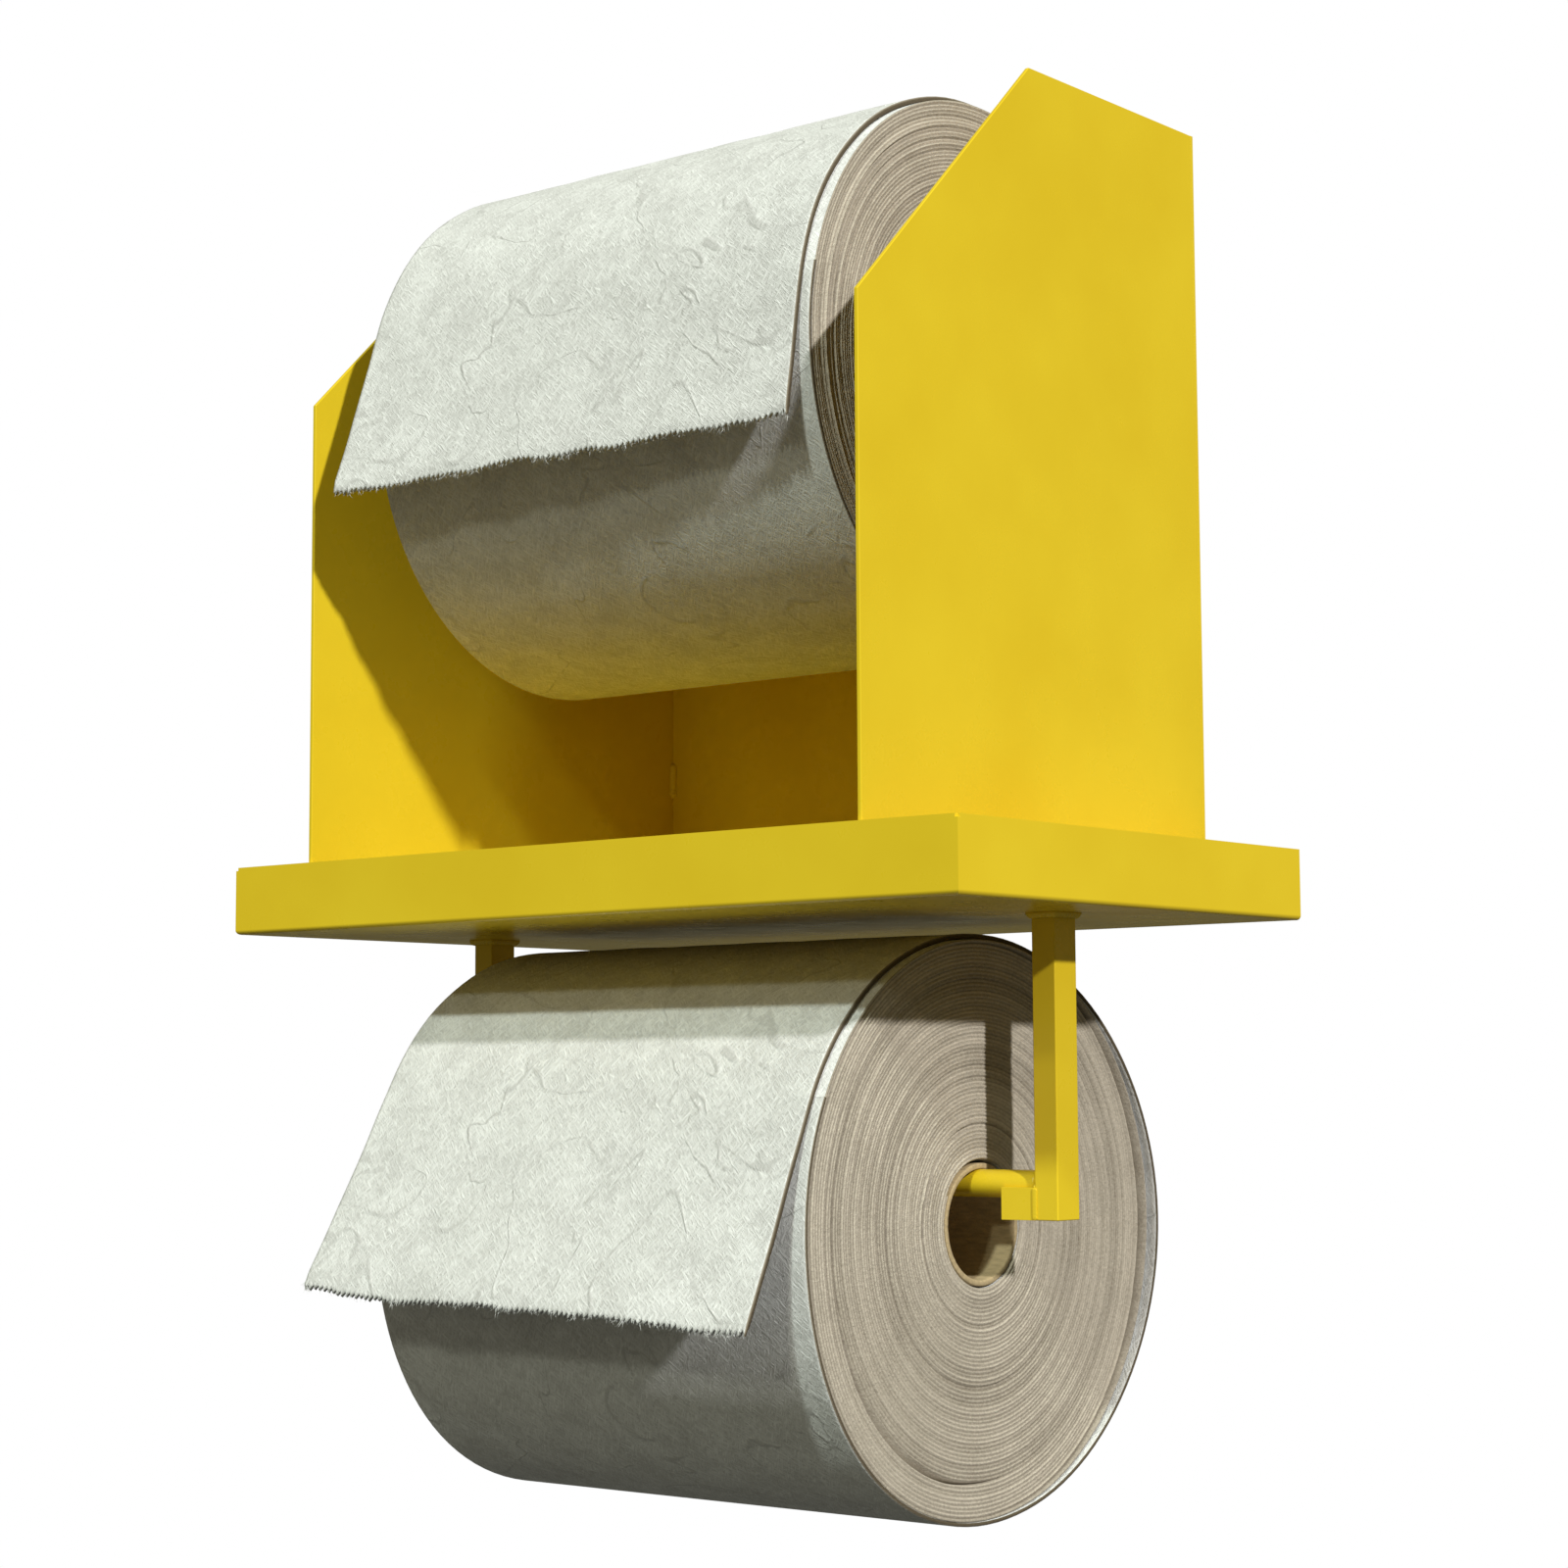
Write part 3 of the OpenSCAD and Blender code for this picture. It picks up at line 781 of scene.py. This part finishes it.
def wound_roll(winding, mat, felt, edge):
    """The wound body. Each end is one strip that spirals out from the core: for every
    step round the roll it has a hollow, then two points on the mat's slit edge, and it
    shares its outer side with the next turn's hollow. A bore and an outer wall join
    the two ends."""
    count = winding.turns * SEGMENTS
    k = np.arange(count + 1)
    turn = k / SEGMENTS
    phi = winding.start() + (turn - winding.turns) * TURN
    # How far through the mat the strip's three points are, and how deep they lie
    part = np.array([0.0, 0.34, 0.72])
    depth = np.array([0.85, 0.1, 0.0]) * MM
    strip_phi = phi[:, None] + 0 * part
    radius = winding.radius(strip_phi, part)
    slid = winding.slide(strip_phi)
    inner_slid = winding.slide(strip_phi[:, :1] - TURN)
    stray = winding.random.normal(0, 0.12 * MM, radius.shape)
    right = winding.right + slid - depth + stray
    left = winding.left + slid + depth + stray
    right[:, 0] = winding.right + np.minimum(slid[:, 0], inner_slid[:, 0]) - depth[0]
    left[:, 0] = winding.left + np.maximum(slid[:, 0], inner_slid[:, 0]) + depth[0]
    # The hollow is deep where loose turns part from each other
    beyond = turn - (winding.turns - OUTSIDE_CRACK)
    first_loose = (beyond > 0) & (beyond <= 1)
    parted = 5 * winding.roll.crack * hill(phi, *CRACK) * first_loose
    parted = parted + 0.9 * winding.roll.slide * winding.looseness(phi)
    right[:, 0] -= parted
    # The last turn's outer side closes the spiral
    rim = np.arange(SEGMENTS + 1)
    rim_phi = phi[-SEGMENTS - 1 :]
    rim_r = winding.radius(rim_phi, 1.0)
    rim_slid = winding.slide(rim_phi)

    rim_depth = 0.4 * MM
    total = (count + 1) * 3
    ends, faces = [], []
    for x, rim_x, flip in (
        (right, winding.right + rim_slid - rim_depth, 1),
        (left, winding.left + rim_slid + rim_depth, -1),
    ):
        strip = winding.place(x, strip_phi, radius).reshape(-1, 3)
        outer = winding.place(rim_x, rim_phi, rim_r)
        # The index of the point on the outer side of step k
        next_turn = k + SEGMENTS
        side = np.where(next_turn <= count, next_turn * 3, total + next_turn - count)
        rows = np.stack([k * 3, k * 3 + 1, k * 3 + 2, side], -1)
        quads = np.stack([rows[:-1, :-1], rows[:-1, 1:], rows[1:, 1:], rows[1:, :-1]], -1)
        offset = len(ends) and len(ends[0])
        faces.append(quads.reshape(-1, 4)[:, ::flip] + offset)
        ends.append(np.concatenate([strip, outer]))
    each = len(ends[0])
    walls = []
    outer_right = total + rim
    inner_right = np.arange(SEGMENTS + 1) * 3
    for ring, flip in ((outer_right, 1), (inner_right, -1)):
        quads = np.stack([ring[:-1], ring[:-1] + each, ring[1:] + each, ring[1:]], -1)
        walls.append(quads[:, ::flip])
    piece = new_piece(
        winding.level + "_roll_wound", np.concatenate(ends), [faces, walls], [edge, felt],
        winding.body, [winding.level + "_roll"],
    )
    face_outwards(piece)
    shade = 0.1 * winding.stray[np.clip(np.floor(turn).astype(int), 0, winding.turns)]
    # The rim is pale for a turn, but lies in the shade of the loose mat, which is painted on it as
    # shade. Each gap between turns gets painted shade too.
    ply = np.concatenate([np.repeat(shade, 3), np.full(SEGMENTS + 1, 0.25)])
    hollow = np.concatenate([np.tile([1.0, 0.1, 0.0], count + 1), np.full(SEGMENTS + 1, 2.6)])
    # Painted shade: gaps where the turns have parted are drawn darker
    hollow[: len(phi) * 3 : 3] += 0.3 * parted / MM
    set_attribute(piece, "ply", np.tile(np.clip(ply, -0.3, 0.3), 2))
    set_attribute(piece, "hollow", np.tile(np.clip(hollow, 0, 4), 2))
    all_phi = np.concatenate([np.repeat(phi, 3), rim_phi])
    across = np.concatenate([
        right.ravel(), winding.right + rim_slid, left.ravel(), winding.left + rim_slid
    ])
    set_uv(piece, across, np.tile(all_phi * winding.roll.front, 2))


# ------------------------------------------------------------------ loose mats

TURN_ROWS = 118  # rows of points on the roll
FREE_ROWS = 45  # rows of points past the leaving line
EDGE_ROUND = 0.6 * MM  # how far a slit edge bulges
# How much painted shade a slit edge gets, from the roll outwards
SLIT_SHADES = (4.5, 4.2, 3.0, 1.2)
TUFTS = 9  # places along a torn edge where fibres gather
IN_TUFTS = 0.22  # share of the fibres that gather there


def tear(x, mat, random):
    """How far the torn edge stands out along the mat at each place across it: teeth at
    the tear pitch, with slower strays where the web let go unevenly."""
    teeth = np.arange(len(x)) % 2
    ragged = random.normal(0, 1, len(x))
    slow = np.convolve(random.normal(0, 1, len(x) + 24), np.hanning(25), "valid") * 0.12
    return mat.tooth_depth * (teeth - 0.5 + 0.1 * ragged + 0.7 * slow)


def mat_path(winding, mat, across):
    """The mat's inner face from one turn before it leaves the roll to its torn edge.
    On the roll it lies on the turn below. Past the leaving angle it runs on along the
    tangent, bent a little outwards. Gives its angles, its radii, the length run past
    the leaving line, its outward normals and its tangents, each as rows along the mat
    by columns across it."""
    roll = winding.roll
    share = ((across - across[0]) / (across[-1] - across[0]))[None, :]
    leave = roll.leave_left + share * (roll.leave_right - roll.leave_left)
    free = roll.free_left + share * (roll.free_right - roll.free_left)
    start = winding.start()
    t = np.linspace(0, 1, TURN_ROWS)[:, None]
    phi = start + t * (leave - start)
    lift = 0.3 * MM + 1.1 * MM * smooth_step(phi, 0.0, 0.9)
    r = winding.radius(phi) + lift
    far = np.linspace(0, 1, FREE_ROWS + 1)[1:, None] ** 0.9
    reach = far * free
    bend = 0.0225 * reach**2
    phi = np.concatenate([phi, leave + 0 * reach])
    n = np.stack([0 * phi, -np.sin(phi), np.cos(phi)], -1)
    tangent = np.stack([0 * phi, -np.cos(phi), -np.sin(phi)], -1)
    r = np.concatenate([r, r[-1:] + bend])
    run = np.concatenate([np.zeros_like(r[: len(t)]), reach])
    return phi, r, run, n, tangent


def loose_mat(winding, mat, felt, edge):
    """The last turn of a roll and its hanging end. The section is a flat loop: the
    inner face left to right, a rounded edge, the outer face right to left and the other
    edge. Slow waves lift the free part, and the torn edge follows tear()."""
    roll, random = winding.roll, winding.random
    low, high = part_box(winding.level + "_loose_mat")
    columns = round((high.x - low.x) / (mat.tooth / 2)) + 1
    across = np.linspace(low.x + EDGE_ROUND, high.x - EDGE_ROUND, columns)
    phi, r, run, n, tangent = mat_path(winding, mat, across)
    rows = len(phi)
    free = run > 0
    # Thickness grows from that of the wound mat to that of the loose mat
    grown = smooth_step(phi, winding.start() + math.pi, winding.start() + TURN)
    thick = mat.wound_t + (mat.loose_t - mat.wound_t) * grown
    slid = winding.slide(phi)
    home = winding.centre.x - (low.x + high.x) / 2
    slid = slid + home * (1 - smooth_step(phi, -1.9, 0.2))
    slow = 0.012 * np.sin(across / (61 * MM) + 1.3)
    quick = 0.008 * np.sin(across / (23 * MM) + run / (40 * MM))
    waves = free * run * (slow + quick)
    puckers = 0.28 * MM * np.sin(across / (13 * MM) + 2 * np.sin(phi * 5 + run / (30 * MM)))
    puckers = puckers * np.sin(phi * 9 + run / (17 * MM) + across / (47 * MM))
    puckers = puckers * smooth_step(phi, -1.5, 0)
    tip = tear(across, mat, random)[None, :]
    last = run / np.maximum(run[-1:], 1e-6)
    run = run + tip * smooth_step(last, 0.9, 1.0)
    base = winding.place(across[None, :] + 0 * phi, phi, r) + tangent * run[..., None]
    base[..., 0] += slid
    inner = base + n * (waves + puckers)[..., None]
    outer = inner + n * thick[..., None]
    # The free part thins a little towards the tear
    thin = (0.22 * thick * smooth_step(last, 0.93, 1.0))[..., None] * n
    inner, outer = inner + thin, outer - thin
    side = np.array([EDGE_ROUND, 0, 0])
    edge_right = [inner[:, -1] * (1 - f) + outer[:, -1] * f + side for f in (0.3, 0.7)]
    edge_left = [inner[:, 0] * (1 - f) + outer[:, 0] * f - side for f in (0.7, 0.3)]
    points = np.concatenate([
        inner, np.stack(edge_right, 1), outer[:, ::-1], np.stack(edge_left, 1)
    ], 1)
    loop = points.shape[1]
    skin = grid_faces(rows, loop, close_columns=True)
    # The two slit edges are the last three strips of each half of the loop
    slit = np.tile(np.arange(loop) % (columns + 2) >= columns - 1, rows - 1)
    faces = [skin[~slit]]
    i = np.arange(columns - 1)
    opposite = 2 * columns + 1 - i
    cap = np.stack([i, i + 1, opposite - 1, opposite], -1)
    sides = np.array([
        [columns - 1, columns, columns + 1, columns + 2],
        [0, 2 * columns + 1, 2 * columns + 2, 2 * columns + 3],
    ])
    for ends in (cap, sides):
        faces.append(ends)
        faces.append((ends + (rows - 1) * loop)[:, ::-1])
    piece = new_piece(
        winding.level + "_mat", points, [faces, [skin[slit]]], [felt, edge], winding.body,
        [winding.level + "_loose_mat"],
    )
    face_outwards(piece)
    # Painted shade on the slit edges, darkest against the roll
    slit_painted_shade = np.zeros(loop)
    slit_painted_shade[[columns - 1, columns, columns + 1, columns + 2]] = SLIT_SHADES
    slit_painted_shade[[0, loop - 1, loop - 2, loop - 3]] = SLIT_SHADES
    set_attribute(piece, "hollow", np.tile(slit_painted_shade, rows))
    set_attribute(piece, "ply", np.zeros(rows * loop))
    along = (phi - winding.start()) * roll.front + run
    u = np.concatenate([across, [across[-1]] * 2, across[::-1], [across[0]] * 2])
    ends_right, ends_left = along[:, [-1, -1]], along[:, [0, 0]]
    v = np.concatenate([along, ends_right, along[:, ::-1], ends_left], 1)
    set_uv(piece, np.broadcast_to(u, v.shape), v)
    fringe = torn_fibres(winding, mat, inner[-1], outer[-1], tangent[-1], n[-1], felt)


def torn_fibres(winding, mat, inner, outer, tangent, n, felt):
    """Fibres pulled out along the torn edge. Each one starts at random in the edge's
    thickness, runs roughly along the mat and curls, and tapers from root to tip. Some
    gather in tufts, where they are longer."""
    random = winding.random
    count = mat.fibres
    end = len(inner) - 1.001
    spot = random.uniform(0, end, count)
    tufts = random.uniform(0, end, TUFTS)
    gathered = random.random(count) < IN_TUFTS
    near = tufts[random.integers(0, len(tufts), count)] + random.normal(0, 1.6, count)
    spot = np.where(gathered, np.clip(near, 0, end), spot)
    i, part = spot.astype(int), (spot % 1)[:, None]
    height = random.uniform(0.05, 0.95, count)[:, None]
    low = inner[i] * (1 - part) + inner[i + 1] * part
    high = outer[i] * (1 - part) + outer[i + 1] * part
    root = low + (high - low) * height - tangent[i] * 0.8 * MM
    size = mat.fibre_l * random.lognormal(-0.1, 0.4, count) * np.where(gathered, 1.35, 0.85)
    size = np.clip(size, 1 * MM, 8.5 * MM)[:, None, None]
    x_axis = np.array([1.0, 0, 0])
    lean = tangent[i] + random.normal(0, 0.4, (count, 1)) * x_axis
    lean = lean + random.normal(0, 0.22, (count, 1)) * n[i]
    curl = random.normal(0, 0.35, (count, 1)) * x_axis + random.normal(0, 0.2, (count, 1)) * n[i]
    t = np.linspace(0, 1, 4)[None, :, None]
    spine = root[:, None] + size * (lean[:, None] * t + curl[:, None] * t**2)
    width = random.uniform(0.16, 0.34, (count, 1, 1)) * MM * (1 - 0.85 * t)
    corner = np.arange(3) / 3 * TURN
    ring = np.cos(corner)[:, None] * x_axis + np.sin(corner)[:, None] * n[i].mean(0)
    points = spine[:, :, None, :] + width[..., None] * ring
    strand = grid_faces(4, 3, close_columns=True)
    ends = np.array([[0, 1, 2], [11, 10, 9]])
    shift = (np.arange(count) * 12)[:, None, None]
    faces = [(strand + shift).reshape(-1, 4), (ends + shift).reshape(-1, 3)]
    piece = new_piece(
        winding.level + "_torn_fibres", points, [faces], [felt], winding.body
    )
    set_uv(piece, points[..., 0], points[..., 2])
    return piece


# ------------------------------------------------------------------ stage

CAMERA_PLACE = Vector((1.4944, -1.9355, -0.4012))
CAMERA_AZIMUTH = math.radians(40.195)
CAMERA_ELEVATION = math.radians(-5.66)
CAMERA_ROLL = math.radians(-0.292)
CAMERA_LENS = 71.28  # millimetres, on a sensor 36 mm wide
FLOOR_RADIUS = 3.0
FLOOR_BOUNCE = 0.08  # share of its colour by which the floor lights the part
AIR_TINT = (1.0, 0.94, 0.62, 1)
WHITE = (1, 1, 1, 1)


def set_camera():
    """A camera below the tray, to the right of the front, looking slightly up."""
    data = bpy.data.cameras.new("Camera")
    data.sensor_width, data.lens = 36.0, CAMERA_LENS
    camera = place_object("Camera", data)
    a, e = CAMERA_AZIMUTH, CAMERA_ELEVATION
    back = Vector((math.sin(a) * math.cos(e), -math.cos(a) * math.cos(e), math.sin(e)))
    right = (-back).cross(Vector((0, 0, 1))).normalized()
    up = back.cross(right)
    turned_right = math.cos(CAMERA_ROLL) * right + math.sin(CAMERA_ROLL) * up
    turned_up = back.cross(turned_right)
    place = Matrix((turned_right, turned_up, back)).transposed().to_4x4()
    place.translation = CAMERA_PLACE
    camera.matrix_world = place
    bpy.context.scene.camera = camera


def set_light(name, direction, strength, tint, spread):
    """A distant light that shines along a direction."""
    data = bpy.data.lights.new(name, "SUN")
    data.energy, data.color, data.angle = strength, tint, math.radians(spread)
    light = place_object(name, data)
    light.rotation_mode = "QUATERNION"
    light.rotation_quaternion = Vector(direction).to_track_quat("-Z", "Y")


def set_world(air):
    """A white backdrop that lights the object more weakly than it shows."""
    world = bpy.data.worlds.new("Studio")
    bpy.context.scene.world = world
    world.use_nodes = True
    tree = world.node_tree
    seen = add(tree, "LightPath").outputs["Is Camera Ray"]
    shine = add(tree, "MapRange", {"Value": seen, "To Min": air, "To Max": 1.0})
    tone = add(tree, "Mix", {
        0: seen, 6: AIR_TINT, 7: WHITE}, data_type="RGBA")
    fill(tree, tree.nodes["Background"], {
        "Color": tone, "Strength": shine})


def lay_floor(stage):
    """A round pale floor well below the dispenser. It throws little light back up."""
    made, tree, shader = new_material("painted_concrete")
    seen = add(tree, "LightPath").outputs["Is Camera Ray"]
    tone = add(tree, "Mix", {
        0: seen, 6: (*[c * FLOOR_BOUNCE for c in stage.floor], 1), 7: (*stage.floor, 1)},
        data_type="RGBA")
    fill(tree, shader, {"Base Color": tone, "Roughness": 0.9})
    turn = np.linspace(0, TURN, 96, endpoint=False)
    z = CAD_BOX[0].z - stage.floor_drop
    points = np.stack([
        FLOOR_RADIUS * np.cos(turn), FLOOR_RADIUS * np.sin(turn), 0 * turn + z
    ], -1)
    mesh = bpy.data.meshes.new("floor")
    mesh.from_pydata(points.tolist(), [], [list(range(len(turn)))])
    mesh.materials.append(made)
    place_object("floor", mesh)


# ------------------------------------------------------------------ operators


def windings(scene):
    """The two rolls' shapes, the upper one first."""
    return [
        Winding("upper", scene.dispenser_upper, scene.dispenser_mat),
        Winding("lower", scene.dispenser_lower, scene.dispenser_mat),
    ]


class DISPENSER_OT_stage(bpy.types.Operator):
    """Set the camera, the light and the floor"""

    bl_idname = "dispenser.stage"
    bl_label = "Stage"

    def execute(self, context):
        stage = context.scene.dispenser_stage
        context.scene.view_settings.view_transform = "Standard"
        set_camera()
        set_light("Side light", (-1.0, 0.34, -0.56), stage.side_light, (0.98, 1.0, 0.95), 2.2)
        set_light("Front light", (-0.25, 1.0, -0.9), stage.front_light, (0.88, 1.0, 0.89), 3.5)
        set_light("Rear light", (0.6, -0.75, -0.35), stage.rear_light, (1.0, 1.0, 1.0), 8.0)
        set_light("Low light", (-0.3, 1.0, -0.52), stage.low_light, (0.95, 1.0, 0.8), 3.5)
        set_world(stage.air)
        lay_floor(stage)
        return {"FINISHED"}


class DISPENSER_OT_steel(bpy.types.Operator):
    """Round and enamel the tray, the panels, the saddles and the hangers"""

    bl_idname = "dispenser.steel"
    bl_label = "Steelwork"

    def execute(self, context):
        steel = context.scene.dispenser_steel
        paint = gloss_enamel("gloss_enamel", steel, 0.05)
        for node in PLATES:
            soften(node, steel.edge_r, paint)
        for node in BLOCKS:
            soften(node, steel.block_r, paint)
        return {"FINISHED"}


class DISPENSER_OT_welds(bpy.types.Operator):
    """Lay the weld beads"""

    bl_idname = "dispenser.welds"
    bl_label = "Welds"

    def execute(self, context):
        steel = context.scene.dispenser_steel
        lay_welds(steel, gloss_enamel("enamel_over_weld", steel, 0.12))
        return {"FINISHED"}


class DISPENSER_OT_bars(bpy.types.Operator):
    """Turn the two round bars"""

    bl_idname = "dispenser.bars"
    bl_label = "Bars"

    def execute(self, context):
        steel = context.scene.dispenser_steel
        paint = gloss_enamel("enamelled_round_bar", steel, 0.05)
        for level in ("upper", "lower"):
            round_bar(level, steel, paint)
        return {"FINISHED"}


class DISPENSER_OT_cores(bpy.types.Operator):
    """Make the two cardboard cores"""

    bl_idname = "dispenser.cores"
    bl_label = "Cores"

    def execute(self, context):
        board = wound_board("kraft_board", context.scene.dispenser_mat)
        core_tube("upper", "top_roll", board)
        core_tube("lower", "bottom_roll", board)
        return {"FINISHED"}


class DISPENSER_OT_rolls(bpy.types.Operator):
    """Wind the rolls and hang their loose mats"""

    bl_idname = "dispenser.rolls"
    bl_label = "Rolls"

    def execute(self, context):
        mat = context.scene.dispenser_mat
        felt = melt_blown_felt("melt_blown_felt", mat.felt, mat.felt_shade, 0.4, 1.5)
        edge = wound_edge("slit_felt_edge", mat)
        for winding in windings(context.scene):
            wound_roll(winding, mat, felt, edge)
            loose_mat(winding, mat, felt, edge)
        return {"FINISHED"}


class DISPENSER_PT_panel(bpy.types.Panel):
    """Lists the dispenser's operators and settings"""

    bl_label = "Twin Roll Dispenser"
    bl_idname = "DISPENSER_PT_panel"
    bl_space_type = "VIEW_3D"
    bl_region_type = "UI"
    bl_category = "Dispenser"

    def draw(self, context):
        for operator in OPERATORS:
            self.layout.operator(operator.bl_idname)
        for name, group in SETTINGS.items():
            box = self.layout.box()
            for prop in group.__annotations__:
                box.prop(getattr(context.scene, name), prop)


OPERATORS = (
    DISPENSER_OT_stage, DISPENSER_OT_steel, DISPENSER_OT_welds, DISPENSER_OT_bars,
    DISPENSER_OT_cores, DISPENSER_OT_rolls,
)
SETTINGS = {
    "dispenser_steel": SteelSettings,
    "dispenser_mat": MatSettings,
    "dispenser_upper": UpperRollSettings,
    "dispenser_lower": LowerRollSettings,
    "dispenser_stage": StageSettings,
}


def register():
    """Registers the classes and hangs the settings on the scene."""
    for made in (*SETTINGS.values(), *OPERATORS, DISPENSER_PT_panel):
        bpy.utils.register_class(made)
    for name, group in SETTINGS.items():
        setattr(bpy.types.Scene, name, PointerProperty(type=group))


def unregister():
    """Takes away what register() added."""
    for name in SETTINGS:
        delattr(bpy.types.Scene, name)
    for made in (DISPENSER_PT_panel, *reversed(OPERATORS), *SETTINGS.values()):
        bpy.utils.unregister_class(made)


def main():
    """Builds everything in order."""
    register()
    bpy.ops.dispenser.stage()
    bpy.ops.dispenser.steel()
    bpy.ops.dispenser.welds()
    bpy.ops.dispenser.bars()
    bpy.ops.dispenser.cores()
    bpy.ops.dispenser.rolls()


if __name__ == "__main__":
    main()
